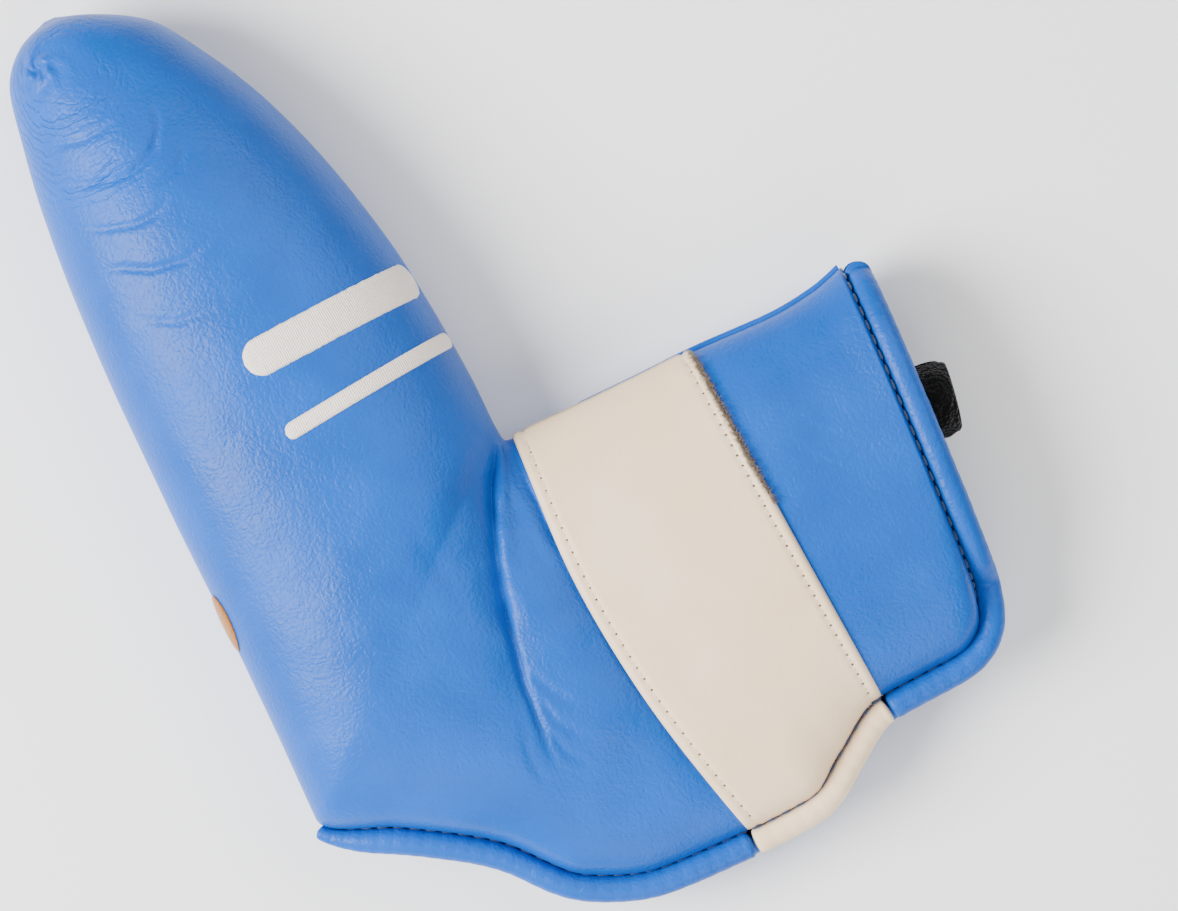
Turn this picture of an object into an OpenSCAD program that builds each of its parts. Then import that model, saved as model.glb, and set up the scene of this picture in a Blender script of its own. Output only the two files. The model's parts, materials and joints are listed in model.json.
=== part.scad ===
// Head cover for a blade putter: a soft leather-look pocket for the blade and a neck that wraps
// round the shaft. It lies on its rear half, front half up. The front of the neck is a flap that
// opens about the spine. X runs along the neck towards the collar, Y along the blade towards the toe.

/* [Pocket] */
// Length of the pocket, from the inner corner of the L to the toe
blade_l = 123; // [103:1:148]
// Width of the pocket, from the top-line edge to the sole edge
pocket_w = 73; // [61:1:88]
// Distance from the inner corner down to the heel corner, where the opening starts
heel_drop = 60; // [50:1:72]
// Height of the front of the pocket above the parting plane
pocket_h = 24; // [20:0.5:29]

/* [Neck] */
// Length of the neck, from the inner corner to the collar's seam
neck_l = 84; // [76:1:101]
// Distance from the spine to the lower seam at the collar
neck_w = 88; // [74:1:98]
// Distance from the spine to the lower seam under the band
heel_l = 103; // [94:1:124]
// Height of the front of the neck above the parting plane
neck_h = 15.6; // [14:0.2:18.8]
// Depth of the rear half below the parting plane
rear_depth = 16; // [15:0.5:19]

/* [Layers] */
// Thickness of the leather
leather_t = 1.2; // [0.9:0.1:1.6]
// Thickness of the foam padding
foam_t = 2; // [1.5:0.1:2.4]
// Thickness of the fleece lining, pile included
fleece_t = 3; // [2.4:0.1:3.4]

/* [Hem and welt] */
// Width of the rolled hem, outwards from its seam
hem_w = 6; // [5:0.1:7.2]
// Thickness of one rolled hem
hem_t = 6; // [5:0.1:7.2]
// How far the spine welt stands out of the spine
welt_w = 2.2; // [1.5:0.1:3]

/* [Band] */
// Width of the light band, at the spine
band_w = 44; // [36:0.5:50]
// Thickness of the band
band_t = 1.2; // [0.9:0.1:1.6]

/* [Shaft sleeve] */
// Diameter of the putter shaft that the sleeve holds
shaft_d = 9.4; // [8:0.1:11]
// Radial room between the shaft and the sleeve
shaft_room = 0.05; // [0:0.01:0.1]
// Wall of the sleeve
sleeve_wall = 3.8; // [3.2:0.1:4.4]
// Length of the sleeve
sleeve_l = 46; // [38:1:55]
// Distance from the spine to the shaft where it leaves the collar
shaft_drop = 35; // [30:1:42]
// Angle between the shaft and the neck
shaft_tilt = 10; // [5:0.5:15]

/* [Closure] */
// Length of the hook and loop patches along the lower seam
patch_l = 40; // [34:1:48]
// Width of the hook and loop patches
patch_w = 11; // [9:0.5:13]

/* [Decoration] */
// Width of the wide embroidered bar
wide_bar_w = 9; // [7:0.5:11]
// Width of the narrow embroidered bar
narrow_bar_w = 3.6; // [3:0.2:5]
// Length of both bars
bar_l = 41; // [34:1:48]
// Length of the badge on the sole edge
badge_l = 14; // [11:0.5:17]

/* [Stitching] */
// Distance between stitches along the hem
hem_pitch = 3.6; // [3:0.1:4.4]
// Distance between stitches along the band
band_pitch = 2.8; // [2.4:0.1:3.4]
// Thickness of the thread
thread_d = 0.7; // [0.5:0.05:0.9]

/* [Hidden] */

BLUE = "dodgerblue";
CREAM = "antiquewhite";
BLACK = "#1a1a1a";
NAVY = "navy";
GOLD = "goldenrod";

skin_gap = 0.05;      // room between two layers of one half
part_gap = 0.2;       // room between a half and the parting plane
margin_w = 18;        // where the two linings lie close together, next to the lower seam
patch_inset = 3;      // how far the patches stay from the lower seam
margin_z = 1.5;       // height of the lining there, which leaves room for the patches
seam_z = 4.2;         // height of the leather at the lower seam
round_front = 2.2;    // how boxy the front's cross-section is: 2 is an ellipse
round_rear = 4;       // the same for the rear, which is flatter
flat_extra = 0.6;     // how far the rear's curve is cut off, to make it flat underneath
columns = 11;         // points across a panel
seam_lead = 0.35;     // where the hem has come out of the sole edge, in stations
cut_gap = 0.35;       // room between the pocket's front and the flap's, in stations
hem_gap = 0.06;       // room between the light part of the hem and its neighbours, in stations
welt_gap = 0.03;      // room between the welt and the spine
sleeve_proud = 4;     // how far the sleeve stands out of the mouth
bar_h = 0.9;          // height of the embroidered bars
bar_gap = 0.2;        // room between a bar and the leather
bar_edge = 0.01;      // where the bars start, across the pocket
wide_bar_at = 6.2;    // stations of the bars and the badge
narrow_bar_at = 6.95;
badge_at = 8.05;
badge_h = 0.8;        // height of the badge
badge_edge = 0.999;   // where the badge ends, across the pocket

in_foam = leather_t + skin_gap;
in_lining = leather_t + foam_t + skin_gap;
in_room = leather_t + foam_t + fleece_t;
sleeve_r = shaft_d / 2 + shaft_room;

// The cover is lofted through stations. Each joins a point of the inner edge, which is the top
// line of the blade and then the spine, to a point of the outer edge, which is the sole and then
// the lower seam: inner x, inner y, outer x, outer y, height of the front.
bw = pocket_w;
bl = blade_l;
hd = heel_drop;
rise = heel_l - heel_drop;
band_x = 2.6;         // left edge of the band, at the spine
cut_x = 1;            // the flap's front starts here, square to its hinge
stations = [
    [-0.61 * bw, bl, -0.77 * bw, bl, 0],
    [-0.55 * bw, 0.988 * bl, -0.80 * bw, 0.987 * bl, 0.40 * pocket_h],
    [-0.42 * bw, 0.938 * bl, -0.89 * bw, 0.945 * bl, 0.63 * pocket_h],
    [-0.305 * bw, 0.84 * bl, -0.93 * bw, 0.83 * bl, 0.81 * pocket_h],
    [-0.2 * bw, 0.715 * bl, -0.965 * bw, 0.70 * bl, 0.92 * pocket_h],
    [-0.1 * bw, 0.535 * bl, -0.99 * bw, 0.51 * bl, pocket_h],
    [-0.035 * bw, 0.345 * bl, -bw, 0.315 * bl, 1.02 * pocket_h],
    [-1.3, 0.18 * bl, -bw, 0.115 * bl, pocket_h],
    [-1.2, 0.085 * bl, -0.995 * bw, -0.2 * hd, 0.98 * pocket_h],
    [-1.15, 3.2, -0.995 * bw, -0.62 * hd, 0.96 * pocket_h],
    [-1.1, 1.2, -0.98 * bw, -hd - 0.8, 0.9 * pocket_h],
    [-1, -0.2, -0.77 * bw, -hd - 0.23 * rise, 0.5 * (0.86 * pocket_h + 1.25 * neck_h)],
    [-0.85, -1.2, -0.52 * bw, -hd - 0.51 * rise, 1.22 * neck_h],
    [-0.65, -1.9, -0.33 * bw, -hd - 0.85 * rise, 1.08 * neck_h],
    [-0.3, -2.3, -0.12 * bw, -heel_l + 0.7, 1.02 * neck_h],
    [cut_x, -2.5, cut_x, -heel_l + 0.2, neck_h],
    [band_x, -2.6, 0.15 * neck_l, -heel_l, neck_h],
    [band_x + 0.38 * band_w, -2.8, 0.33 * neck_l, -heel_l + 0.6, neck_h],
    [band_x + 0.69 * band_w, -2.7, 0.45 * neck_l, -0.55 * heel_l - 0.45 * neck_w, neck_h],
    [band_x + band_w, -2.4, 0.6 * neck_l, -neck_w - 1, neck_h],
    [0.77 * neck_l, -1.5, 0.735 * neck_l, -neck_w - 0.3, neck_h],
    [0.9 * neck_l, -0.9, 0.85 * neck_l, -neck_w + 0.2, 1.02 * neck_h],
    [0.97 * neck_l, -0.5, 0.93 * neck_l, -neck_w + 4.5, 1.04 * neck_h],
    [neck_l, -0.4, 0.957 * neck_l, -neck_w + 12, 1.04 * neck_h]
];
LAST = len(stations) - 1;
TOE = 4;              // the toe is round up to this station
HEEL = 10;            // the lower seam starts here
CUT = 15;             // the pocket's front ends and the flap's starts here
BAND_FROM = 16;
BAND_TO = 19;
rows_per_station = 2;

function unit(p) = p / norm(p);
function reversed(list) = [for (i = [len(list) - 1:-1:0]) list[i]];
function ease(f) = let (g = min(1, max(0, f))) g * g * (3 - 2 * g);
// A smooth curve through the stations that never overshoots one.
function slope(a, b) = a * b <= 0 ? 0 : 2 * a * b / (a + b);
function curve(p, q, r, s, f) =
    q * (1 + 2 * f) * (1 - f) * (1 - f) + slope(q - p, r - q) * f * (1 - f) * (1 - f)
    + r * f * f * (3 - 2 * f) - slope(r - q, s - r) * f * f * (1 - f);
function station(t) =
    let (
        i = min(floor(t), LAST - 1), q = stations[i], r = stations[i + 1],
        p = i > 0 ? stations[i - 1] : 2 * q - r,
        s = i + 2 > LAST ? 2 * r - q : stations[i + 2]
    )
    [for (k = [0:len(q) - 1]) curve(p[k], q[k], r[k], s[k], t - i)];
function is_open(t) = ease((t - HEEL) / 0.8);
function arch(v, n) = pow(max(0, 1 - pow(abs(2 * v - 1), n)), 1 / n);

// How much of a layer's inset applies at a station: less and less towards the tip of the toe.
toe_width = norm([stations[TOE][2] - stations[TOE][0], stations[TOE][3] - stations[TOE][1]]);
function taper(t, width) = t < TOE ? min(1, width / toe_width) : 1;

// Height of the leather, foam or lining at the lower seam, where the stitches press them together.
function seam_height(inset) =
    inset <= leather_t ? seam_z - inset
    : lookup(inset, [[leather_t, seam_z - leather_t], [leather_t + foam_t, 2.2], [in_room, margin_z]]);

// A point of the front, above the parting plane. inset is how deep the layer lies.
function front(t, v, inset) =
    let (
        s = station(t), a = [s[0], s[1]], b = [s[2], s[3]],
        width = norm(b - a), along = (b - a) / max(width, 0.01),
        part = taper(t, width), open = is_open(t),
        shift = [0, -inset * (1 - part)],
        p = a + along * inset * part + shift,
        q = b - along * inset * part * (1 - open) + shift,
        height = s[4] - inset * min(1, s[4] / stations[TOE][4]),
        lower = seam_height(inset) * open,
        room = inset >= in_room ? open * margin_w / width : 0,
        u = min(1, v / (1 - room)),
        bend = inset >= in_room && u > 0.5 ? round_front - 0.7 * open : round_front
    )
    let (low = lower * ease(v / 0.5))
    [each p + (q - p) * v, low + (height - low) * arch(u, bend) + part_gap];

// A point of the rear, below the parting plane, flat where it rests.
function rear(t, v, inset) =
    let (
        f = front(t, v, inset),
        depth = rear_depth * min(1, station(t)[4] / (0.8 * pocket_h) * (t < TOE ? 1 : 2)),
        height = depth - inset * min(1, depth / rear_depth),
        open = is_open(t), lower = seam_height(inset) * open,
        width = norm([station(t)[2] - station(t)[0], station(t)[3] - station(t)[1]]),
        room = inset >= in_room ? open * margin_w / width : 0,
        u = min(1, v / (1 - room)),
        bend = inset >= in_room && u > 0.5 ? round_rear - 2 * open : round_rear,
        curved = (1 + flat_extra / rear_depth) * arch(u, bend)
    )
    let (low = lower * ease(v / 0.5))
    [f.x, f.y, -low - (height - low) * min(1, curved) - part_gap];

function at(side, t, v, inset) = side > 0 ? front(t, v, inset) : rear(t, v, inset);
function steps(from, to) = max(1, ceil((to - from) * rows_per_station));
function across(from, to, count) =
    [for (i = [0:count - 1]) let (c = (1 - cos(180 * i / (count - 1))) / 2) from + (to - from) * c];

// A panel: the solid between two insets, for a range of stations and a range across them.
module sheet(side, from, to, v_from, v_to, outer, inner, count = columns, rows = 0) {
    n = rows > 0 ? rows : steps(from, to);
    ts = [for (i = [0:n]) from + (to - from) * i / n];
    vs = across(v_from, v_to, count);
    points = [
        for (inset = [outer, inner], t = ts, v = vs) at(side, t, v, inset)
    ];
    m = len(vs);
    layer = len(ts) * m;
    function id(k, i, j) = k * layer + i * m + j;
    grid = [for (i = [0:len(ts) - 2], j = [0:m - 2]) [i, j]];
    function square(k, i, j) = [id(k, i, j), id(k, i, j + 1), id(k, i + 1, j + 1), id(k, i + 1, j)];
    top = [for (g = grid) square(0, g[0], g[1])];
    under = [for (g = grid) reversed(square(1, g[0], g[1]))];
    sides = [
        for (i = [0:len(ts) - 2]) each [
            [id(0, i, 0), id(0, i + 1, 0), id(1, i + 1, 0), id(1, i, 0)],
            [id(0, i + 1, m - 1), id(0, i, m - 1), id(1, i, m - 1), id(1, i + 1, m - 1)]
        ]
    ];
    ends = [
        for (j = [0:m - 2]) each [
            [id(0, 0, j + 1), id(0, 0, j), id(1, 0, j), id(1, 0, j + 1)],
            [id(0, n, j), id(0, n, j + 1), id(1, n, j + 1), id(1, n, j)]
        ]
    ];
    all = concat(sides, ends, top, under);
    polyhedron(points, side > 0 ? [for (f = all) reversed(f)] : all, convexity = 6);
}

// The seam: along the lower edge from one station to another, then up the collar if asked.
function seam(side, from, to, collar = false) = concat(
    [for (i = [0:steps(from, to) * 2]) at(side, from + (to - from) * i / (steps(from, to) * 2), 1, 0)],
    collar ? [for (i = [1:14]) at(side, LAST, 1 - i / 14, 0)] : []
);
function tangent(path, i) = unit(path[min(i + 1, len(path) - 1)] - path[max(i - 1, 0)]);
function outward(path, i) = let (d = tangent(path, i)) unit([d.y, -d.x, 0]);

// A rolled hem, swept along a seam. It starts and ends in the middle of its own thickness.
module rolled_hem(side, from, to, collar = false, start_size = 1) {
    path = seam(side, from, to, collar);
    ring = 10;
    least = hem_t / 2 + part_gap;
    function size(i) = start_size + (1 - start_size) * ease(i / 5);
    points = [
        for (i = [0:len(path) - 1], k = [0:ring - 1])
            let (
                out = outward(path, i), a = 360 * k / ring,
                half = hem_t / 2 * size(i),
                middle = side * max(abs(path[i].z) - hem_t / 2 - 0.05, least - hem_t / 2 + half),
                centre = [path[i].x, path[i].y, middle] + out * (hem_w / 2 * size(i) + skin_gap)
            )
            centre + out * cos(a) * hem_w / 2 * size(i) + [0, 0, sin(a) * half]
    ];
    last = len(path) - 1;
    skin = [for (i = [0:last - 1], k = [0:ring - 1]) [
        i * ring + k, (i + 1) * ring + k, (i + 1) * ring + (k + 1) % ring, i * ring + (k + 1) % ring
    ]];
    caps = [[for (k = [0:ring - 1]) k], [for (k = [0:ring - 1]) last * ring + ring - 1 - k]];
    polyhedron(points, concat(skin, caps), convexity = 6);
}

function sums(path) = [
    for (
        i = 0, s = 0;
        i < len(path);
        i = i + 1, s = s + (i < len(path) ? norm(path[i] - path[i - 1]) : 0)
    ) s
];
function spot(path, lengths, s) =
    let (i = max([for (j = [0:len(path) - 2]) lengths[j] <= s ? j : 0]))
    path[i] + (path[i + 1] - path[i]) * (s - lengths[i]) / max(lengths[i + 1] - lengths[i], 0.001);

// A row of separate stitches along a path, each a short bar of thread.
module stitches(path, pitch) {
    lengths = sums(path);
    count = floor((lengths[len(path) - 1] - pitch / 2) / pitch);
    long = 0.7 * pitch;
    for (i = [0:count]) {
        s = (i + 0.5) * pitch;
        p = spot(path, lengths, max(0, s - long / 2));
        q = spot(path, lengths, min(s + long / 2, lengths[len(path) - 1]));
        d = unit(q - p);
        translate((p + q) / 2)
            rotate([0, -asin(d.z), atan2(d.y, d.x)])
                cube([long, thread_d, thread_d], center = true);
    }
}

// The stitches lie one thread's thickness down in the groove beside the hem.
module hem_stitches(side, from, to, collar = false) {
    least = part_gap + skin_gap + thread_d / 2;
    path = seam(side, from, to, collar);
    stitches([for (p = path) [p.x, p.y, side * max(abs(p.z) - thread_d, least)]], hem_pitch);
}

module band_stitches(t) {
    stitches([for (i = [0:26]) front(t, 0.02 + 0.96 * i / 26, -band_t)], band_pitch);
}

// The shaft's line, from the middle of the collar's mouth.
shaft_at = [neck_l + hem_w + 0.8, -shaft_drop, 0];
module along_shaft() {
    translate(shaft_at) rotate([0, 0, -shaft_tilt]) rotate([0, 90, 0]) children();
}
module shaft_sleeve(side) {
    along_shaft() intersection() {
        difference() {
            translate([0, 0, sleeve_proud - sleeve_l])
                cylinder(r = sleeve_r + sleeve_wall, h = sleeve_l, $fn = 96);
            translate([0, 0, sleeve_proud - sleeve_l - 1])
                cylinder(r = sleeve_r, h = sleeve_l + 2, $fn = 96);
        }
        translate([side > 0 ? -50 - part_gap : part_gap, -50, -100]) cube([50, 100, 200]);
    }
}

// A patch sewn to the lining, along the lower seam. Its face is at the parting plane.
module patch(side) {
    path = seam(side, CUT + 0.25, LAST);
    lengths = sums(path);
    count = 8;
    thick = margin_z - skin_gap;
    edge = [for (i = [0:count]) spot(path, lengths, patch_l * i / count)];
    function line(away) = [for (i = [0:count]) let (p = edge[i] - away * outward(edge, i)) [p.x, p.y]];
    far = line(patch_inset + patch_w);
    translate([0, 0, side > 0 ? part_gap : -part_gap - thick])
        linear_extrude(thick)
            polygon(concat(line(patch_inset), [for (i = [count:-1:0]) far[i]]));
}

// An embroidered bar across the pocket, from the top-line edge.
module bar(t, w) {
    half = w / 2 / (0.18 * blade_l);
    end = bar_edge + bar_l / pocket_w;
    sheet(1, t - half, t + half, bar_edge, end, -bar_h, -bar_gap, count = 9, rows = 3);
}

// The badge wraps round the sole edge of the pocket.
module badge() {
    half = badge_l / 2 / (0.2 * blade_l);
    from = badge_at - half;
    to = badge_at + half;
    sheet(1, from, to, 0.955, badge_edge, -badge_h, -skin_gap, count = 5, rows = 4);
}

// The folded edge of the rear leather, along the spine.
module welt() {
    from = BAND_FROM + 0.85;
    to = LAST - 0.05;
    count = 16;
    spine = [for (i = [0:count]) rear(from + (to - from) * i / count, 0, 0)];
    edge = [for (p = spine) [p.x, p.y + welt_gap]];
    outer = [for (i = [count:-1:0]) edge[i] + [0, welt_w * (i == 0 ? 0.5 : 1)]];
    translate([0, 0, -part_gap - leather_t])
        linear_extrude(leather_t)
            polygon(concat(edge, outer));
}

// Where the box of the whole cover lies, so that its middle is the origin.
outline = [for (i = [0:88]) let (t = LAST * i / 88) each [front(t, 0, 0), front(t, 1, 0)]];
hem_line = seam(-1, HEEL + seam_lead, LAST, true);
hem_edge = [for (i = [0:len(hem_line) - 1]) hem_line[i] + outward(hem_line, i) * (hem_w + skin_gap)];
low_x = min(min([for (p = outline) p.x]), front(badge_at - 0.5, badge_edge, -badge_h).x);
low_y = min([for (p = hem_edge) p.y]);
high_x = shaft_at.x + sleeve_proud * cos(shaft_tilt) + (sleeve_r + sleeve_wall) * sin(shaft_tilt);
high_y = max([for (p = outline) p.y]);
module place() {
    translate([-(low_x + high_x) / 2, -(low_y + high_y) / 2, rear_depth + part_gap]) children();
}

module rear_panel() { color(BLUE) sheet(-1, 0, LAST, 0, 1, 0, leather_t); }
module rear_foam() { color(BLACK) sheet(-1, 0, LAST, 0, 1, in_foam, leather_t + foam_t); }
module rear_lining() { color(BLACK) sheet(-1, 0, LAST, 0, 1, in_lining, in_room); }
module rear_hem() { color(BLUE) rolled_hem(-1, HEEL + seam_lead, LAST, true, 0.55); }
module rear_hem_thread() { color(NAVY) hem_stitches(-1, HEEL + seam_lead, LAST, true); }
module spine_welt() { color(BLUE) welt(); }
module loop_patch() { color(BLACK) patch(-1); }
module rear_shaft_sleeve() { color(BLACK) shaft_sleeve(-1); }

module pocket_panel() { color(BLUE) sheet(1, 0, CUT - cut_gap, 0, 1, 0, leather_t); }
module pocket_foam() { color(BLACK) sheet(1, 0, CUT - cut_gap, 0, 1, in_foam, leather_t + foam_t); }
module pocket_lining() { color(BLACK) sheet(1, 0, CUT - cut_gap, 0, 1, in_lining, in_room); }
module heel_hem() { color(BLUE) rolled_hem(1, HEEL + seam_lead, CUT - cut_gap, false, 0.55); }
module heel_hem_thread() { color(NAVY) hem_stitches(1, HEEL + seam_lead, CUT - cut_gap); }
module wide_bar() { color(CREAM) bar(wide_bar_at, wide_bar_w); }
module narrow_bar() { color(CREAM) bar(narrow_bar_at, narrow_bar_w); }
module sole_badge() { color(GOLD) badge(); }

module flap_panel() { color(BLUE) sheet(1, CUT, LAST, 0, 1, 0, leather_t); }
module flap_foam() { color(BLACK) sheet(1, CUT, LAST, 0, 1, in_foam, leather_t + foam_t); }
module flap_lining() { color(BLACK) sheet(1, CUT, LAST, 0, 1, in_lining, in_room); }
module neck_hem() { color(BLUE) rolled_hem(1, CUT + 0.05, BAND_FROM - hem_gap / 2); }
module band_hem() { color(CREAM) rolled_hem(1, BAND_FROM + hem_gap / 2, BAND_TO - hem_gap); }
module collar_hem() { color(BLUE) rolled_hem(1, BAND_TO + hem_gap, LAST, true); }
module flap_hem_thread() { color(NAVY) hem_stitches(1, CUT + 0.05, LAST, true); }
module band() { color(CREAM) sheet(1, BAND_FROM, BAND_TO, 0, 1, -band_t, -skin_gap); }
module band_left_thread() { color(CREAM) band_stitches(BAND_FROM + 0.16); }
module band_right_thread() { color(CREAM) band_stitches(BAND_TO - 0.17); }
module hook_patch() { color(BLACK) patch(1); }
module front_shaft_sleeve() { color(BLACK) shaft_sleeve(1); }

place() rear_panel();
place() rear_foam();
place() rear_lining();
place() rear_hem();
place() rear_hem_thread();
place() spine_welt();
place() loop_patch();
place() rear_shaft_sleeve();
place() pocket_panel();
place() pocket_foam();
place() pocket_lining();
place() heel_hem();
place() heel_hem_thread();
place() wide_bar();
place() narrow_bar();
place() sole_badge();
place() flap_panel();
place() flap_foam();
place() flap_lining();
place() neck_hem();
place() band_hem();
place() collar_hem();
place() flap_hem_thread();
place() band();
place() band_left_thread();
place() band_right_thread();
place() hook_patch();
place() front_shaft_sleeve();
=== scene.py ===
# %% [markdown]
# # A padded head cover for a blade putter
# The cover is an L of soft synthetic leather over foam and plush. It lies on its rear half with its
# front up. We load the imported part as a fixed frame, then dress it: each CAD piece gets a soft,
# creased or stitched piece in its place, and all of them stay where the frame says.

# %% Load the frame
import json
import math
import random

import bmesh
import bpy
import numpy as np
from mathutils import Matrix, Vector, noise


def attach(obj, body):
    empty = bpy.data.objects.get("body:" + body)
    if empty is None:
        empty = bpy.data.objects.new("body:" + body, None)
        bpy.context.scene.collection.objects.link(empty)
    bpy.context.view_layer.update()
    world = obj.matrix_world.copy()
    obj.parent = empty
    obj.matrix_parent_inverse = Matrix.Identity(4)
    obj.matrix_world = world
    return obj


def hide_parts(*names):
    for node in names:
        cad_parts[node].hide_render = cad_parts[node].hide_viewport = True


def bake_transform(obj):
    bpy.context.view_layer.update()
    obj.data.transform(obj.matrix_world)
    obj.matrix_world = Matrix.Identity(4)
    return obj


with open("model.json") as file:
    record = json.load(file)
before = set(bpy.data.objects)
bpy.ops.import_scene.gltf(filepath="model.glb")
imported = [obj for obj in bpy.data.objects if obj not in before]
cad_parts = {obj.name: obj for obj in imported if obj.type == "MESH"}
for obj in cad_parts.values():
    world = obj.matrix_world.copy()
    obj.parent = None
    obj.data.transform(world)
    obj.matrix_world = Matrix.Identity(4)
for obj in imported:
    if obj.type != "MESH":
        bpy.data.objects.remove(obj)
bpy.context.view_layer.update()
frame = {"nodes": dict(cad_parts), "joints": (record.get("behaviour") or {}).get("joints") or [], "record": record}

MM = 0.001
random.seed(7)
noise.seed_set(7)  # noise_vector takes its offset from the clock without this

# %% [markdown]
# ## The camera, the floor and the light
# The cover is looked at from straight above, with its neck turned up to the right. The floor is a
# pale matt sheet. A wide soft box high on the left models the roundness, because a soft leather
# shows its form through broad, blurred highlights, and two weaker ones fill the shaded sides.

# %% Camera, floor and light
hinge = Vector(frame["joints"][0]["pos_m"])
CORNER = hinge - Vector((45, 0, 0)) * MM  # the inner corner of the L, at the parting plane
NECK_TURN = math.radians(25.3)
VIEW_WIDTH = 259 * MM
CAMERA_HEIGHT = 1.1


def place(x, y, z=0.0):
    """A point given in millimetres from the inner corner of the L, in the row frame."""
    return CORNER + Vector((x, y, z)) * MM


def add_camera():
    """A camera straight above, turned so that the neck points up to the right."""
    data = bpy.data.cameras.new("camera")
    data.sensor_width = 36
    data.lens = data.sensor_width * CAMERA_HEIGHT / VIEW_WIDTH
    camera = bpy.data.objects.new("camera", data)
    bpy.context.scene.collection.objects.link(camera)
    aim = place(16.1, -13.3, 8)
    camera.location = aim + Vector((0, 0, CAMERA_HEIGHT))
    camera.rotation_euler = (0, 0, -NECK_TURN)
    bpy.context.scene.camera = camera


def add_light(name, size, power, azimuth, elevation, distance=1.2):
    """A round soft box, in metres, watts and degrees, aimed at the origin."""
    data = bpy.data.lights.new(name, "AREA")
    data.shape = "DISK"
    data.size = size
    data.energy = power
    light = bpy.data.objects.new(name, data)
    a, e = math.radians(azimuth), math.radians(elevation)
    away = Vector((math.cos(a) * math.cos(e), math.sin(a) * math.cos(e), math.sin(e)))
    light.location = away * distance
    light.rotation_euler = away.to_track_quat("Z", "Y").to_euler()
    bpy.context.scene.collection.objects.link(light)


def add_floor():
    """A flat sheet just under the cover."""
    bm = bmesh.new()
    bmesh.ops.create_grid(bm, x_segments=1, y_segments=1, size=2.5)
    mesh = bpy.data.meshes.new("floor")
    bm.to_mesh(mesh)
    bm.free()
    floor = bpy.data.objects.new("floor", mesh)
    floor.location.z = -0.0003
    bpy.context.scene.collection.objects.link(floor)
    return floor


add_camera()
print("camera", CAMERA_HEIGHT, "m up, view", round(VIEW_WIDTH / MM), "mm wide")
add_light("key_softbox", 0.8, 38, 168, 42)
add_light("fill_softbox", 1.2, 9, 20, 50)
add_light("low_softbox", 1.0, 9, 262, 38)
floor = add_floor()
world = bpy.data.worlds.new("studio")
bpy.context.scene.world = world
world.use_nodes = True
world.node_tree.nodes["Background"].inputs["Color"].default_value = (1, 1, 1, 1)
world.node_tree.nodes["Background"].inputs["Strength"].default_value = 0.36

# %% [markdown]
# ## Materials
# One function turns a hex colour to linear, and one adds a node with its settings and links. Every
# pattern is sized from the real thing in millimetres, so `per_mm` turns a grain size into a scale.

# %% Helpers for materials


def rgb(code):
    """An sRGB hex colour as linear numbers."""
    parts = [int(code[i : i + 2], 16) / 255 for i in (1, 3, 5)]
    return [x / 12.92 if x <= 0.04045 else ((x + 0.055) / 1.055) ** 2.4 for x in parts] + [1]


def per_mm(size):
    """The scale of a texture whose cells are this many millimetres across."""
    return 1 / (size * MM)


def add_node(tree, kind, inputs=None, **settings):
    """Adds a node. Each input is a value, or a socket to link from."""
    node = tree.nodes.new(kind)
    for name, value in settings.items():
        setattr(node, name, value)
    for name, value in (inputs or {}).items():
        socket = node.inputs[name]
        if isinstance(value, bpy.types.NodeSocket):
            tree.links.new(value, socket)
        else:
            socket.default_value = value
    return node


def new_material(name, **sockets):
    """A material with its Principled shader set, its node tree and its object coordinates."""
    material = bpy.data.materials.new(name)
    material.use_nodes = True
    tree = material.node_tree
    shader = tree.nodes["Principled BSDF"]
    for key, value in sockets.items():
        shader.inputs[key.replace("_", " ")].default_value = value
    coords = add_node(tree, "ShaderNodeTexCoord")
    return material, tree, shader, coords.outputs["Object"]


def two_tone(tree, factor, low, high, start=0.3, end=0.7):
    """A colour that runs from low to high as factor runs from start to end."""
    ramp = add_node(tree, "ShaderNodeValToRGB", {"Fac": factor})
    ramp.color_ramp.elements[0].position = start
    ramp.color_ramp.elements[1].position = end
    ramp.color_ramp.elements[0].color = rgb(low)
    ramp.color_ramp.elements[1].color = rgb(high)
    return ramp.outputs["Color"]


def bump(tree, height, depth_mm, strength=1.0, under=None):
    """A bump of this depth, laid over another one if under is given."""
    inputs = {"Height": height, "Distance": depth_mm * MM, "Strength": strength}
    if under is not None:
        inputs["Normal"] = under
    return add_node(tree, "ShaderNodeBump", inputs).outputs["Normal"]


def noise_node(tree, coords, size_mm, detail):
    """Cloudy noise whose cells are this many millimetres across."""
    inputs = {"Vector": coords, "Scale": per_mm(size_mm), "Detail": detail}
    return add_node(tree, "ShaderNodeTexNoise", inputs)


def cells(tree, coords, size_mm, feature="F1"):
    """Cells this many millimetres across: pebbles and tufts, or a net of lines by distance to edge."""
    inputs = {"Vector": coords, "Scale": per_mm(size_mm)}
    return add_node(tree, "ShaderNodeTexVoronoi", inputs, feature=feature).outputs["Distance"]


def remap(tree, value, low, high, to_low=0, to_high=1):
    """to_low to to_high as the value runs from low to high."""
    inputs = {"Value": value, "From Min": low, "From Max": high, "To Min": to_low, "To Max": to_high}
    return add_node(tree, "ShaderNodeMapRange", inputs).outputs["Result"]


def arithmetic(tree, operation, *values):
    """One step of arithmetic on sockets or numbers."""
    return add_node(tree, "ShaderNodeMath", dict(enumerate(values)), operation=operation).outputs[0]


print("a texture cell of 1 mm has scale", round(per_mm(1)))

# %% [markdown]
# ### Leather
# The skin is polyurethane leather: a pigmented film, embossed with a pebble grain about 0.7 mm
# across and polished by handling. The film gives a clean saturated colour with a soft sheen, the
# emboss breaks the highlight into small cells, and short creases run between the pebbles.

# %% Leather


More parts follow.
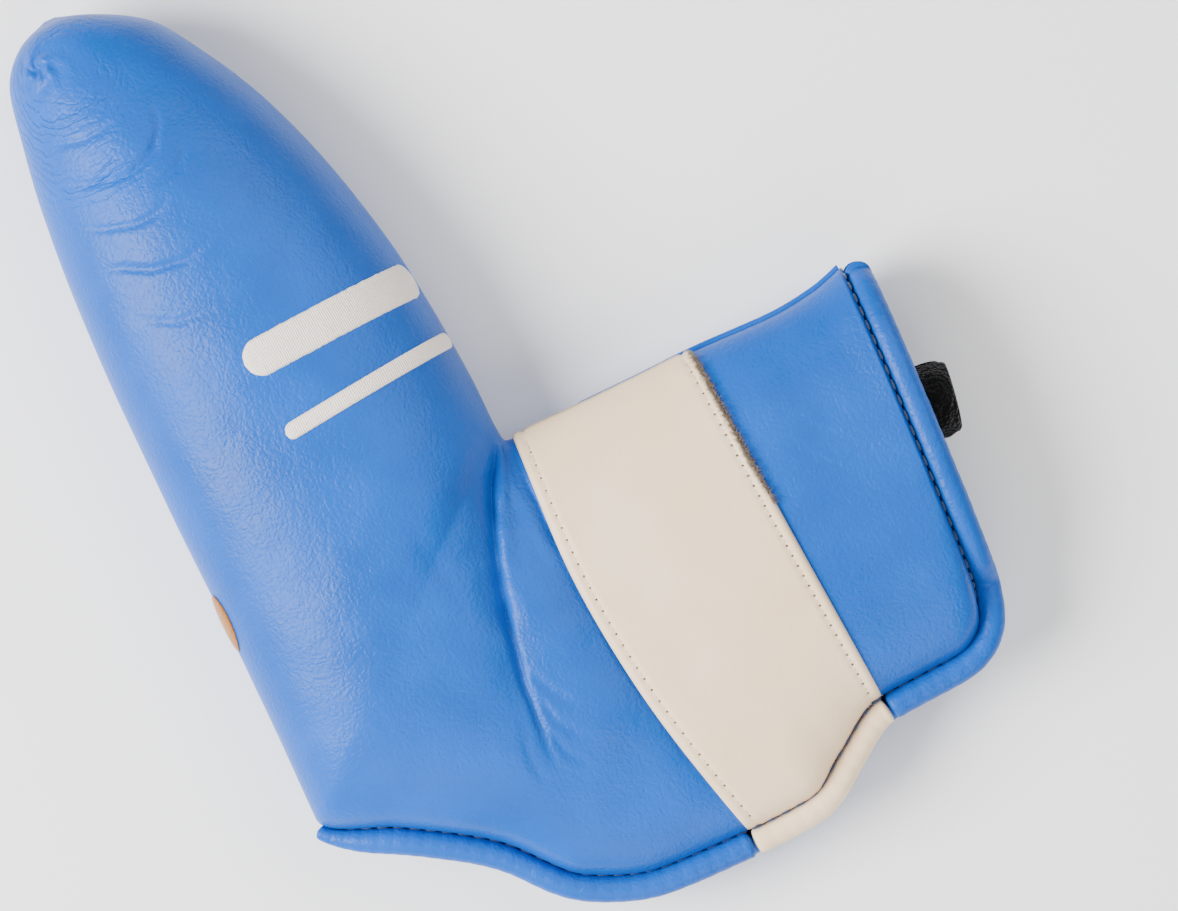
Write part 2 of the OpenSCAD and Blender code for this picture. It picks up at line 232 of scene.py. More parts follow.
def leather(name, deep, pale, grain_mm, grain_depth, rough):
    """Embossed film: slow clouds of colour, pebbles, short creases, and spots worn smoother."""
    material, tree, shader, coords = new_material(
        name, IOR=1.45, Roughness=rough, Specular_IOR_Level=0.26
    )
    cloud = noise_node(tree, coords, 22, 4.0).outputs["Fac"]
    tree.links.new(two_tone(tree, cloud, deep, pale), shader.inputs["Base Color"])
    warp = noise_node(tree, coords, 3.0, 3.0).outputs["Color"]
    mix = {"Fac": 0.0025, "Color1": coords, "Color2": warp}
    bent = add_node(tree, "ShaderNodeMixRGB", mix, blend_type="ADD").outputs["Color"]
    pebbles = cells(tree, bent, grain_mm, "SMOOTH_F1")
    lines = cells(tree, bent, 3.4 * grain_mm, "DISTANCE_TO_EDGE")
    fine = bump(tree, pebbles, -grain_depth, 0.7)
    coarse = bump(tree, remap(tree, lines, 0, 0.12), 0.8 * grain_depth, 0.16, fine)
    tree.links.new(coarse, shader.inputs["Normal"])
    worn = remap(tree, cloud, 0.3, 0.7, rough - 0.04, rough + 0.05)
    tree.links.new(worn, shader.inputs["Roughness"])
    return material


# Coated leather in blue, for the rear, the hems and the spine.
BLUE = leather("polyurethane_leather_blue", "#004ea6", "#0057b8", 0.75, 0.16, 0.42)
# The same leather on the front, where finer creases are laid over its grain.
CREASED_BLUE = leather("polyurethane_leather_blue_creased", "#004ea6", "#0057b8", 0.75, 0.16, 0.4)


def add_fine_creases(material, centre, start_mm, end_mm, pitch_mm, depth_mm):
    """Fine broken arcs round a gathered spot, and a crinkle all over, laid over the grain."""
    tree = material.node_tree
    shader = tree.nodes["Principled BSDF"]
    grain = shader.inputs["Normal"].links[0].from_socket
    coords = add_node(tree, "ShaderNodeTexCoord").outputs["Object"]
    span = {0: coords, 1: tuple(centre)}
    away = add_node(tree, "ShaderNodeVectorMath", span, operation="DISTANCE").outputs["Value"]
    wobble = noise_node(tree, coords, 7, 3.0).outputs["Fac"]
    shifted = arithmetic(tree, "MULTIPLY_ADD", wobble, 3.5 * pitch_mm * MM, away)
    turns = arithmetic(tree, "MULTIPLY", shifted, 2 * math.pi / (pitch_mm * MM))
    total = remap(tree, arithmetic(tree, "SINE", turns), 0.1, 1.0)
    patches = noise_node(tree, coords, 11, 2.0).outputs["Fac"]
    across = add_node(tree, "ShaderNodeSeparateXYZ", {0: coords}).outputs["X"]
    edge = centre.x + 7 * MM
    masks = (
        remap(tree, away, start_mm * MM, 1.5 * start_mm * MM),
        remap(tree, away, 0.7 * end_mm * MM, end_mm * MM, 1, 0),
        remap(tree, patches, 0.38, 0.6),
        remap(tree, across, edge, edge + 8 * MM, 1, 0),
    )
    for mask in masks:
        total = arithmetic(tree, "MULTIPLY", total, mask)
    arcs = bump(tree, total, -depth_mm, 1.0, grain)
    turn = {"Vector": coords, "Rotation": (0, 0, math.radians(-38)), "Scale": (1.0, 0.28, 1.0)}
    stretched = add_node(tree, "ShaderNodeMapping", turn).outputs["Vector"]
    line = remap(tree, cells(tree, stretched, 2.6, "DISTANCE_TO_EDGE"), 0, 0.14)
    inverse = arithmetic(tree, "SUBTRACT", 1.0, line)
    cuts = arithmetic(tree, "MULTIPLY", inverse, remap(tree, patches, 0.42, 0.62))
    tree.links.new(bump(tree, cuts, -0.05, 0.6, arcs), shader.inputs["Normal"])


add_fine_creases(CREASED_BLUE, place(-52, 113, 18), 7, 36, 2.0, 0.22)
# The same coated leather in cream, for the hem where it crosses the band.
CREAM = leather("polyurethane_leather_cream", "#f0d2ac", "#f6ddbd", 0.9, 0.05, 0.5)
# Seamless white paper under the cover.
floor_material, _, shader, _ = new_material("matt_paper", Roughness=0.9)
shader.inputs["Base Color"].default_value = rgb("#fdfdfd")
floor.data.materials.append(floor_material)
print("leathers:", BLUE.name, CREASED_BLUE.name, CREAM.name)

# %% [markdown]
# ## The surface that everything is cut from
# A shoe or a glove is cut to a last. Here the last is a loft: rulings run from the inner edge (the
# top line of the blade, then the spine) to the outer edge (the sole, then the lower seam), and each
# carries an arched cross-section. Every panel, hem, band and stitch asks the same surface where it
# lies, so they all fit each other.

# %% The loft
# Each ruling: inner x, inner y, outer x, outer y, height of the front, in mm from the inner corner.
RULINGS = np.array([
    (-49.5, 125, -52, 125, 0),
    (-41.5, 121.9, -59.2, 121.8, 9.6),
    (-30.7, 115.4, -65.2, 114.6, 15.1),
    (-22.3, 103.3, -67.9, 102.1, 19.4),
    (-14.6, 88, -70.4, 86.1, 22.1),
    (-7.3, 65.8, -72.3, 62.7, 24),
    (-2.6, 42.4, -73, 38.8, 24.5),
    (-0.6, 22.1, -73, 14.2, 24),
    (0, 10.5, -72.6, -12, 23.5),
    (0, 3.2, -72.6, -37.2, 23),
    (0.1, 1.2, -72.9, -60.3, 21.6),
    (0.2, -0.2, -56.2, -69.9, 20.1),
    (0.3, -1.2, -38, -82, 19),
    (0.5, -1.9, -24.1, -96.6, 16.9),
    (0.8, -2.3, -8.8, -102.3, 15.9),
    (1.4, -2.5, 1, -102.8, 15.6),
    (2.6, -2.6, 12.6, -103, 15.6),
    (19.3, -2.8, 27.7, -102.4, 15.6),
    (33, -2.7, 37.8, -96.3, 15.6),
    (46.6, -2.4, 50.4, -89, 15.6),
    (64.7, -2.9, 61.7, -88.3, 15.6),
    (75.6, -1.9, 71.4, -87.8, 15.9),
    (81.5, -0.4, 78.1, -83.5, 16.2),
    (84, 0.5, 80.4, -76, 16.2),
])
LAST = len(RULINGS) - 1
TOE, HEEL, BAND_FROM, BAND_TO = 4, 10, 16, 19  # places on the list of rulings
TOE_WIDTH = float(np.linalg.norm(RULINGS[TOE, 2:4] - RULINGS[TOE, :2]))
SEAM_Z = 4.2  # height of the leather at the lower seam
GAP = 0.2  # room between each half and the parting plane
FRONT_ARCH, REAR_ARCH = 2.2, 3.6  # how square each half's cross-section is
COVER_L, SKIN_W, SPINE_L = 330, 90, 66  # lengths of leather in mm: along the cover, across it, down the spine
REAR_DEPTH = CORNER.z / MM - GAP
POCKET_H = float(RULINGS[5, 4])


def slope(a, b):
    """The slope at a ruling, from the steps before and after it, so that the curve never overshoots."""
    return np.where(a * b > 0, 2 * a * b / np.where(a + b == 0, 1, a + b), 0)


def ruling(t):
    """The ruling at t, between two of the list."""
    t = min(max(t, 0), LAST - 1e-6)
    i = int(t)
    f = t - i
    q, r = RULINGS[i], RULINGS[i + 1]
    p = RULINGS[i - 1] if i > 0 else 2 * q - r
    s = RULINGS[i + 2] if i + 2 <= LAST else 2 * r - q
    m, n = slope(q - p, r - q), slope(r - q, s - r)
    return (
        q * (1 + 2 * f) * (1 - f) ** 2
        + m * f * (1 - f) ** 2
        + r * f * f * (3 - 2 * f)
        - n * f * f * (1 - f)
    )


def ease(x):
    """A smooth step from 0 to 1."""
    x = min(1.0, max(0.0, x))
    return x * x * (3 - 2 * x)


def arch(v, n):
    """The height of an arch at v, 0 to 1: squarer with a larger n."""
    return max(0.0, 1 - abs(2 * v - 1) ** n) ** (1 / n)


def surface(side, t, v, inset=0.0):
    """A point of the front (side 1) or the rear (side -1), this deep under the leather's face, in mm."""
    s = ruling(t)
    a, b = s[:2], s[2:4]
    width = float(np.linalg.norm(b - a))
    along = (b - a) / max(width, 0.01)
    part = min(1.0, width / TOE_WIDTH) if t < TOE else 1.0
    is_open = ease((t - HEEL) / 0.8)
    p = a + along * inset * part
    q = b - along * inset * part * (1 - is_open)
    x, y = p + (q - p) * v
    y -= inset * (1 - part)
    lower = max(SEAM_Z - 0.62 * inset, 0.6) * is_open * ease(v / 0.5)
    if side > 0:
        height = s[4] - inset * min(1.0, s[4] / RULINGS[TOE, 4])
        rise = arch(v, FRONT_ARCH)
    else:
        depth = REAR_DEPTH * min(1.0, s[4] / (0.8 * POCKET_H) * (1 if t < TOE else 2))
        height = depth - inset * min(1.0, depth / REAR_DEPTH)
        rise = min(1.0, 1.04 * arch(v, REAR_ARCH))
    return Vector((x, y, side * (lower + (height - lower) * rise + GAP)))


MID_T = np.linspace(0, LAST, 400)
MID = np.array([tuple(surface(1, t, 0.5)) for t in MID_T])
MID_RUN = np.concatenate([[0], np.cumsum(np.linalg.norm(np.diff(MID, axis=0), axis=1))])


def even(u):
    """The ruling at a share u of the way along the middle of the cover."""
    return float(np.interp(u * MID_RUN[-1], MID_RUN, MID_T))


print("surface:", LAST + 1, "rulings over", round(MID_RUN[-1]), "mm, rear depth", round(REAR_DEPTH, 2))

# %% [markdown]
# ## Creases
# Leather over foam creases where it is bent: deeply across the inside of the L, and in a fan of
# short arcs behind the toe, where the flat skin is drawn round a tight curve. Each crease is a line
# on the plan with a width and a depth. The surface sinks along it and swells beside it, as skin
# does when it has nowhere to go.

# %% Creases
# Each crease: its points in mm from the inner corner, its width, its depth and its ridge.
FOLD = [(1, 2), (-0.8, -1.6), (-5.5, -9), (-9, -17), (-12.8, -27.5), (-15.5, -38.4), (-17.8, -52), (-19, -65)]
CREASES = [
    (FOLD, 5.5, 4.6, 0.05),
    (FOLD[:6], 1.3, 1.5, 0.3),
    (FOLD[4:] + [(-19.2, -73)], 0.9, 0.9, 0.35),
    ([(1.4, -3), (1.3, -22), (2.5, -34)], 1.6, 1.3, 0.5),
    ([(0.5, -20), (1.5, -40), (4, -62), (8, -84), (11, -97)], 3.6, 1.6, 0.1),
    ([(-16, -50), (-13, -57), (-9, -61)], 0.8, 0.45, 0.8),
    ([(-17, -55), (-15, -63), (-10, -69)], 0.8, 0.5, 0.8),
    ([(-18, -62), (-16, -70), (-12, -75)], 0.8, 0.4, 0.8),
    ([(-22, -60), (-24, -68), (-23, -76)], 1.0, 0.3, 0.6),
    ([(-26, -12), (-23, -24), (-23, -36)], 2.4, 0.35, 0.3),
    ([(-64.7, 89.7), (-54.8, 85.8), (-47.7, 84), (-41.3, 86.7), (-38.2, 91), (-36.5, 97)], 1.0, 1.1, 0.35),
    ([(-64.6, 99), (-54, 95.6), (-45, 96)], 0.8, 0.65, 0.3),
    ([(-63.3, 78.6), (-57, 75.8), (-51.3, 74), (-46, 74.2), (-42, 76.5)], 0.9, 0.75, 0.3),
    ([(-64.3, 68.8), (-58, 66.8), (-52, 63.5), (-45, 62.2), (-36.6, 65)], 0.9, 0.8, 0.3),
    ([(-60, 55), (-52, 51), (-43, 50)], 1.1, 0.35, 0.8),
    ([(-44, 80), (-38, 81), (-34, 85)], 0.9, 0.4, 0.8),
    ([(58, -22), (64, -30), (73, -37)], 1.1, 0.18, 0.5),
    ([(56, -29), (62, -37), (70, -43)], 1.1, 0.18, 0.5),
]
SWELLS = [
    ((-15, -2), 15, 1.6),
    ((-34, -36), 26, 1.2),
    ((-5, -46), 7, 0.9),
    ((-4, -66), 8, 1.5),
    ((-50, 72), 12, 0.6),
    ((-46, 92), 9, 0.8),
]
BLUNT = 0.3  # how blunt the bottom of a crease is
PUCKER = (-57, 114.5)  # the gathered knot behind the toe


def distance_to(points, x, y):
    """How far (x, y) is from a line of points, and how far along the line the nearest spot is, 0 to 1."""
    best, share = 1e9, 0.0
    count = len(points) - 1
    for i in range(count):
        (ax, ay), (bx, by) = points[i], points[i + 1]
        dx, dy = bx - ax, by - ay
        f = min(1.0, max(0.0, ((x - ax) * dx + (y - ay) * dy) / (dx * dx + dy * dy)))
        d = math.hypot(x - ax - f * dx, y - ay - f * dy)
        if d < best:
            best, share = d, (i + f) / count
    return best, share


def relief(x, y):
    """How far the front leather stands above the plain loft at (x, y), in mm."""
    wander = noise.noise_vector(Vector((x, y, 0)) / 5)
    wx, wy = x + 0.25 * wander.x, y + 0.25 * wander.y
    lift = 0.5 * noise.noise(Vector((x, y, 3)) / 24) + 0.16 * noise.noise(Vector((x, y, 9)) / 7)
    for points, width, depth, ridge in CREASES:
        near = min(math.hypot(wx - px, wy - py) for px, py in points)
        if near > 30:
            continue
        d, share = distance_to(points, wx, wy)
        if d > 5 * width:
            continue
        ends = min(1.0, 3 * share + 0.2, 3 * (1 - share))
        ends *= 0.9 + 0.3 * noise.noise(Vector((x, y, 21)) / 6)
        lift -= depth * ends * math.exp(-(math.hypot(d, BLUNT) - BLUNT) / (0.75 * width))
        lift += depth * ridge * ends * math.exp(-(((d - 1.7 * width) / (0.9 * width)) ** 2)) * 0.5
    for (sx, sy), radius, height in SWELLS:
        lift += height * math.exp(-(((x - sx) ** 2 + (y - sy) ** 2) / radius**2))
    d = math.hypot(x - PUCKER[0], y - PUCKER[1])
    if d < 14:
        turn = math.atan2(y - PUCKER[1], x - PUCKER[0]) + 0.9 * d / 4
        lift += 0.35 * math.exp(-((d / 6) ** 2)) * math.cos(5 * turn) - 0.9 * math.exp(-((d / 1.3) ** 2))
        lift += 0.5 * math.exp(-(((d - 2.4) / 1.1) ** 2))
    return lift


print(len(CREASES), "creases and", len(SWELLS), "swells")

# %% [markdown]
# ## Cutting and wrapping
# `wrap` is the only way a sheet is made here: a flat grid from `bmesh.ops.create_grid`, with each
# corner moved to where a shape function puts it, as a maker pulls a flat panel over the last. The
# grid's own coordinates, in metres, stay on it as its UV map, so threads can follow the piece.

# %% Wrap


def finish_mesh(name, bm, material):
    """Turns a bmesh into an object of the scene."""
    for face in bm.faces:
        face.smooth = True
    mesh = bpy.data.meshes.new(name)
    bm.to_mesh(mesh)
    bm.free()
    mesh.materials.append(material)
    piece = bpy.data.objects.new(name, mesh)
    bpy.context.scene.collection.objects.link(piece)
    return piece


def wrap(name, material, counts, size, shape, facing=None, closed=False, marks=None):
    """A grid of counts squares pulled to shape(u, v), in mm. size is its real width and length in mm."""
    bm = bmesh.new()
    bmesh.ops.create_grid(bm, x_segments=counts[0], y_segments=counts[1], size=0.5)
    uv = bm.loops.layers.uv.new("UVMap")
    for face in bm.faces:
        for loop in face.loops:
            loop[uv].uv = ((loop.vert.co.x + 0.5) * size[0] * MM, (loop.vert.co.y + 0.5) * size[1] * MM)
    mark = bm.verts.layers.float.new("mark") if marks else None
    for vert in bm.verts:
        u, v = vert.co.x + 0.5, vert.co.y + 0.5
        if marks:
            vert[mark] = marks(u, v)
        vert.co = place(*shape(u, v))
    if closed:
        bmesh.ops.remove_doubles(bm, verts=bm.verts, dist=1e-5)
        bmesh.ops.recalc_face_normals(bm, faces=bm.faces)
    elif facing:
        bm.normal_update()
        total = sum((f.normal * f.calc_area() for f in bm.faces), Vector())
        if total.dot(Vector(facing)) < 0:
            bmesh.ops.reverse_faces(bm, faces=bm.faces)
    return finish_mesh(name, bm, material)


def thicken(piece, thickness, offset=-1):
    """A Solidify modifier: gives a sheet its real thickness."""
    modifier = piece.modifiers.new("thickness", "SOLIDIFY")
    modifier.thickness = thickness * MM
    modifier.offset = offset
    return piece


def on_front(piece, slot, *nodes):
    """The piece stands for these nodes, which are hidden, and stays where it lies on the front of the neck."""
    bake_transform(piece)
    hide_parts(*nodes)


def on_pocket(piece, slot, *nodes):
    """The piece stands for these nodes and stays with the rear half and the pocket."""
    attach(piece, "pocket")
    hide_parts(*nodes)


# %% [markdown]
# ## The leather panels
# The front is cut in two: from the toe to a splice hidden under the band, and on to the collar. The
# rear is one panel, flat where the cover lies on it. All are sheets 1.2 mm thick, so a Solidify
# modifier gives them their edge.

# %% The leather panels
DETAIL = 1.0
STITCH_PITCH = 3.6
LEATHER_T = 1.2
SPLICE_L = 265  # length of the front leather up to the splice


def pull_of_seam(t, v):
    """The stitches pull the leather down beside the lower seam and the collar."""
    if t < HEEL:
        return 0.0
    to_seam = (1 - v) * SKIN_W
    to_collar = (LAST - t) * 8 if t > LAST - 2 else 99
    near = min(to_seam, to_collar)
    return 1.3 * math.exp(-((near / 1.6) ** 2)) * ease((t - HEEL) / 0.5)


def front_skin(t, v):
    """The face of the front leather, with its creases."""
    p = surface(1, t, v)
    fade = min(1.0, arch(v, FRONT_ARCH) * 1.4) * ease(t / 0.6) * min(1.0, 0.25 + (LAST - t) * 0.6)
    p.z += relief(p.x, p.y) * fade - pull_of_seam(t, v)
    return p


def rear_skin(t, v):
    """The face of the rear leather, a little uneven."""
    p = surface(-1, t, v)
    p.z += 0.35 * max(0.0, noise.noise(Vector((p.x, p.y, 40)) / 13)) * min(1.0, 3 * v, 3 - 3 * v)
    return p


def spread(v):
    """Sets the columns closer at both edges, where the leather turns down."""
    return 0.5 - 0.5 * math.cos(math.pi * v)


SPLICE = float(np.interp(17.5, MID_T, MID_RUN)) / MID_RUN[-1]  # the splice lies under the band


def panel(name, material, counts, length, shape, up):
    """A sheet of leather of this length, facing up (1) or down (-1), whose face is shape(u, v)."""
    counts = [int(n * DETAIL) for n in counts]
    sheet = wrap(name, material, counts, (length, SKIN_W), shape, facing=(0, 0, up))
    return thicken(sheet, LEATHER_T)


def toe_to_splice(u, v):
    return front_skin(even(u * SPLICE), spread(v))


def splice_to_collar(u, v):
    return front_skin(even(SPLICE + u * (1 - SPLICE)), spread(v))


def rear_face(u, v):
    return rear_skin(even(u), spread(v))


front_panel = panel("front_leather", CREASED_BLUE, (410, 116), SPLICE_L, toe_to_splice, 1)
on_front(front_panel, "blue_leather", "pocket_panel", "flap_panel")
collar_panel = panel("collar_leather", CREASED_BLUE, (120, 116), COVER_L - SPLICE_L, splice_to_collar, 1)
on_front(collar_panel, "blue_leather", "flap_panel")
rear_panel = panel("rear_leather", BLUE, (220, 90), COVER_L, rear_face, -1)
on_pocket(rear_panel, "blue_leather", "rear_panel")
print("front leather", len(front_panel.data.polygons), "faces")

# %% [markdown]
# ## The rolled hem
# The leather is turned over a cord along the opening and stitched down in a groove. The roll is
# swept along the seam: its section is an ellipse that each stitch pinches a little, which gives the
# scalloped edge.

# %% The seam's path


def resample(points, count):
    """The same path with its points evenly spaced, and its length in mm."""
    points = np.array(points, float)
    steps = np.linalg.norm(np.diff(points, axis=0), axis=1)
    run = np.concatenate([[0], np.cumsum(steps)])
    even = np.linspace(0, run[-1], count)
    return np.stack([np.interp(even, run, points[:, k]) for k in range(3)], 1), float(run[-1])


def seam_path(side, start, end, collar=False):
    """Points along the lower seam, and then up the collar to the spine."""
    ts = np.linspace(start, end, 160)
    points = [tuple(surface(side, t, 1.0)) for t in ts]
    if collar:
        points += [tuple(surface(side, LAST, v)) for v in np.linspace(1, 0, 90)[1:]]
        x, y, z = points[-1]
        points += [(x + 0.1, y + 1.2, z)]
    return points


def smooth_path(points, rounds):
    """The same points, each drawn towards its neighbours this many times."""
    points = points.copy()
    for _ in range(rounds):
        points[1:-1] = 0.25 * points[:-2] + 0.5 * points[1:-1] + 0.25 * points[2:]
    return points


HEM_W, HEM_T = 6.0, 5.8
SMOOTHING = {1: 120, -1: 400}  # rounds of smoothing for the seam of the front and of the rear


class Seam:
    """The path of a seam: a spot along it and the way out from it, by length in mm."""

    def __init__(self, side, start, end, collar=False):
        self.side = side
        points, self.length = resample(seam_path(side, start, end, collar), 900)
        self.points = smooth_path(points, SMOOTHING[side])
        self.run = np.linspace(0, self.length, 900)

    def spot(self, s):
        s = min(max(s, 0.0), self.length)
        return Vector([np.interp(s, self.run, self.points[:, k]) for k in range(3)])

    def along(self, s):
        return (self.spot(s + 1.5) - self.spot(s - 1.5)).normalized()

    def out(self, s):
        d = self.along(s)
        return Vector((d.y, -d.x, 0)).normalized()


FRONT_SEAM = Seam(1, HEEL + 0.04, LAST, True)
REAR_SEAM = Seam(-1, HEEL + 0.04, LAST, True)


def seam_length_at(seam, t):
    """How far along the seam the ruling t comes out."""
    p = np.array(surface(seam.side, t, 1.0))
    return float(seam.run[np.argmin(np.linalg.norm(seam.points - p, axis=1))])


def hem_shape(seam, start, end, grow=0.0):
    """The shape of a rolled hem from start to end along a seam."""
    least = 0.5 * HEM_T + GAP

    def shape(u, v):
        s = start + (end - start) * u
        angle = 2 * math.pi * v
        size = 1 - 0.45 * math.exp(-((s / 9) ** 2))
        from_end = min(s - start, end - s)
        blunt = 3.0 if s > seam.length - 3.0 else 1.2
        cap = math.sqrt(max(0.0, 1 - max(0.0, 1 - from_end / blunt) ** 2))
        pinch = 1 - 0.018 * (0.5 + 0.5 * math.cos(2 * math.pi * s / STITCH_PITCH)) ** 2
        swell = 1 + 0.03 * noise.noise(Vector((s / 9, seam.side * 3, 0)))
        half_w = (0.5 * HEM_W * pinch * swell + grow) * size
        half_t = (0.5 * HEM_T * pinch * swell + grow) * size
        out = seam.out(s)
        up = out.cross(seam.along(s))
        centre = seam.spot(s) - seam.side * up * (0.5 * HEM_T + 0.05)
        centre.z = seam.side * max(seam.side * centre.z, least - 0.5 * HEM_T + half_t)
        centre += out * (0.5 * HEM_W * size + 0.15)
        return centre + (out * math.cos(angle) * half_w + up * math.sin(angle) * half_t) * cap

    return shape


def rolled_hem(name, material, seam, start, end):
    """A rolled hem along part of a seam, from start to end in mm."""
    counts = (int((end - start) / 0.6 * DETAIL) + 8, 20)
    return wrap(name, material, counts, (end - start, 18), hem_shape(seam, start, end), closed=True)


BAND_START = seam_length_at(FRONT_SEAM, BAND_FROM)
BAND_END = seam_length_at(FRONT_SEAM, BAND_TO + 0.12)
neck_hem = rolled_hem("heel_and_neck_hem", BLUE, FRONT_SEAM, 0, BAND_START)
on_front(neck_hem, "blue_leather", "heel_hem", "neck_hem")
band_hem = rolled_hem("band_hem_roll", CREAM, FRONT_SEAM, BAND_START, BAND_END)
on_front(band_hem, "cream_leather", "band_hem")
collar_hem = rolled_hem("collar_hem_roll", BLUE, FRONT_SEAM, BAND_END, FRONT_SEAM.length)
on_front(collar_hem, "blue_leather", "collar_hem")
rear_hem = rolled_hem("rear_hem_roll", BLUE, REAR_SEAM, 0, REAR_SEAM.length)
on_pocket(rear_hem, "blue_leather", "rear_hem")
print("hem", round(FRONT_SEAM.length), "mm, light from", round(BAND_START), "to", round(BAND_END))

# %% [markdown]
# ## The band
# A strip of cream leather is laid over the neck and stitched down along both edges. It shows its
# own thickness at the edges, which round over, and the needle has left a pit at each stitch. The
# edge nearer the collar has frayed and caught dirt along its upper half.

# %% The band
BAND_T = 1.2
BAND_L = 98  # its length down the neck
BAND_STITCH = 2.8
EDGE_INSET = 2.5  # from each edge to its row of stitches
BOW_AT = np.linspace(0, 1, 60)  # how far the left edge bows out, in rulings, down the neck
BOW = np.interp(BOW_AT, (0, 0.1, 0.28, 0.45, 0.62, 0.85, 1), (0, 0.75, 1.1, 0.85, 0.6, 0.2, 0))
BOW = smooth_path(BOW, 40)


def band_edges(v):
    """Where the band starts and ends on the loft, for a place v down the neck."""
    return BAND_FROM - float(np.interp(v, BOW_AT, BOW)), BAND_TO + 0.12 * v * v


BAND_ROWS = np.linspace(0, 1, 41)


def band_table(v):
    """Places across the band at v, evenly spaced along the leather, and its width in mm."""
    ts = np.linspace(*band_edges(v), 40)
    spots = np.array([tuple(surface(1, t, v)) for t in ts])
    run = np.concatenate([[0], np.cumsum(np.linalg.norm(np.diff(spots, axis=0), axis=1))])
    return np.interp(np.linspace(0, run[-1], 40), run, ts), float(run[-1])


BAND_TABLES = [band_table(v) for v in BAND_ROWS]
BAND_WIDTHS = [width for _, width in BAND_TABLES]


def band_spot(u, v, proud):
    """A spot on the band, this many mm proud of the leather under it."""
    row = min(v, 0.9999) * (len(BAND_ROWS) - 1)
    low, f = int(row), row % 1
    across = np.linspace(0, 1, 40)
    above, below = (np.interp(u, across, BAND_TABLES[k][0]) for k in (low, low + 1))
    t = (1 - f) * above + f * below
    p = front_skin(t, v)
    q = surface(1, t, v)
    p.z += 0.65 * (q.z - p.z) * ease((1 - v) / 0.06)
    steep = 1 - arch(v, FRONT_ARCH)
    p.z += proud * (1 - 0.5 * steep)
    p.y += proud * steep * (1 if v < 0.5 else -0.2)
    return p


def edge_and_pit(u, v):
    """How far (u, v) is from the band's nearer long edge, in mm, and how deep in a needle's pit, 0 to 1."""
    edge = min(u, 1 - u) * float(np.interp(v, BAND_ROWS, BAND_WIDTHS))
    down = v * BAND_L
    pit = math.exp(-(((edge - EDGE_INSET) / 0.45) ** 2))
    return edge, pit * abs(math.cos(math.pi * down / BAND_STITCH)) ** 12


def band_shape(u, v):
    """The band's face: rounded at the edges, with a groove and pits where it is stitched."""
    edge, pit = edge_and_pit(u, v)
    roll = 0.75 * math.exp(-((edge / 0.55) ** 2))
    groove = 0.22 * math.exp(-(((edge - EDGE_INSET) / 0.7) ** 2))
    return band_spot(u, v, BAND_T - roll - groove - 0.45 * pit + 0.12)


def band_marks(u, v):
    """1 in a needle's pit, for its painted shade, and up to 2 in the dirt along the frayed edge."""
    edge, pit = edge_and_pit(u, v)
    dirt = ease((0.5 - v) / 0.2) * math.exp(-((edge / 1.5) ** 2)) if u > 0.5 else 0.0
    return pit + 2 * dirt


def add_band_pit_shade_and_dirt(material):
    """Darkens the pits with painted shade and the frayed edge with dirt, from the band's own marks."""
    tree = material.node_tree
    shader = tree.nodes["Principled BSDF"]
    mark = add_node(tree, "ShaderNodeAttribute", attribute_name="mark").outputs["Fac"]
    coords = add_node(tree, "ShaderNodeTexCoord").outputs["Object"]
    speckle = noise_node(tree, coords, 0.9, 6.0).outputs["Fac"]
    # The needle pits are darkened as painted shade, and the frayed edge as dirt.
    amount = remap(tree, arithmetic(tree, "MULTIPLY", mark, speckle), 0.22, 0.75, 0, 0.85)
    clean = shader.inputs["Base Color"].links[0].from_socket
    mix = {"Fac": amount, "Color1": clean, "Color2": rgb("#3a3128")}
    mixed = add_node(tree, "ShaderNodeMixRGB", mix).outputs["Color"]
    tree.links.new(mixed, shader.inputs["Base Color"])


# The band's own cream leather, which also carries painted shade in its needle pits and its dirt along the frayed
# edge.
BAND_CREAM = leather("polyurethane_leather_cream_stitched", "#f0d2ac", "#f6ddbd", 0.9, 0.05, 0.5)
add_band_pit_shade_and_dirt(BAND_CREAM)
band = wrap(
    "neck_band",
    BAND_CREAM,
    (int(100 * DETAIL), int(190 * DETAIL)),
    (46, BAND_L),
    lambda u, v: band_shape(u, 0.002 + 0.996 * v),
    facing=(0, 0, 1),
    marks=band_marks,
)
thicken(band, BAND_T)
on_front(band, "cream_leather", "band")
print("band", len(band.data.polygons), "faces,", round(BAND_WIDTHS[0]), "mm wide at the spine")

# %% [markdown]
# ## Thread
# Bonded polyester sewing thread: each stitch is a short sausage that dives into the leather at both
# ends. One `create_uvsphere` stretched along its stitch is enough, and all of a row's stitches share
# one mesh.

# %% Thread


def thread(name, colour, shade, fibre_mm=0.25):
    """Twisted thread: a soft sheen, and a fuzz of fibres."""
    material, tree, shader, coords = new_material(
        name, Roughness=0.62, Sheen_Weight=0.35, Sheen_Roughness=0.5
    )
    fuzz = noise_node(tree, coords, 2 * fibre_mm, 3.0).outputs["Fac"]
    tree.links.new(two_tone(tree, fuzz, shade, colour), shader.inputs["Base Color"])
    tree.links.new(bump(tree, fuzz, 0.12, 0.6), shader.inputs["Normal"])
    return material


# Bonded polyester sewing thread: navy in the hem's groove, ecru along the band.
NAVY_THREAD = thread("bonded_polyester_navy", "#12305e", "#0a1c3c")
ECRU_THREAD = thread("bonded_polyester_ecru", "#d8c6b0", "#b9a58e")


def new_hole_shade_and_fibre_material():
    """Painted shade of a needle hole, and the raw backing of the loose fibres, brown with handling."""
    material, tree, shader, coords = new_material("needle_hole_shade_and_frayed_fibre", Roughness=0.95)
    # The brown mottle colours both the painted shade of the holes and the dirty fibres.
    dirt = noise_node(tree, coords, 0.7, 3.0).outputs["Fac"]
    tree.links.new(two_tone(tree, dirt, "#4a3d31", "#85725d"), shader.inputs["Base Color"])
    return material


# Painted shade in the needle holes, and the raw back of the leather on the loose fibres.
HOLE_SHADE_AND_FIBRE = new_hole_shade_and_fibre_material()


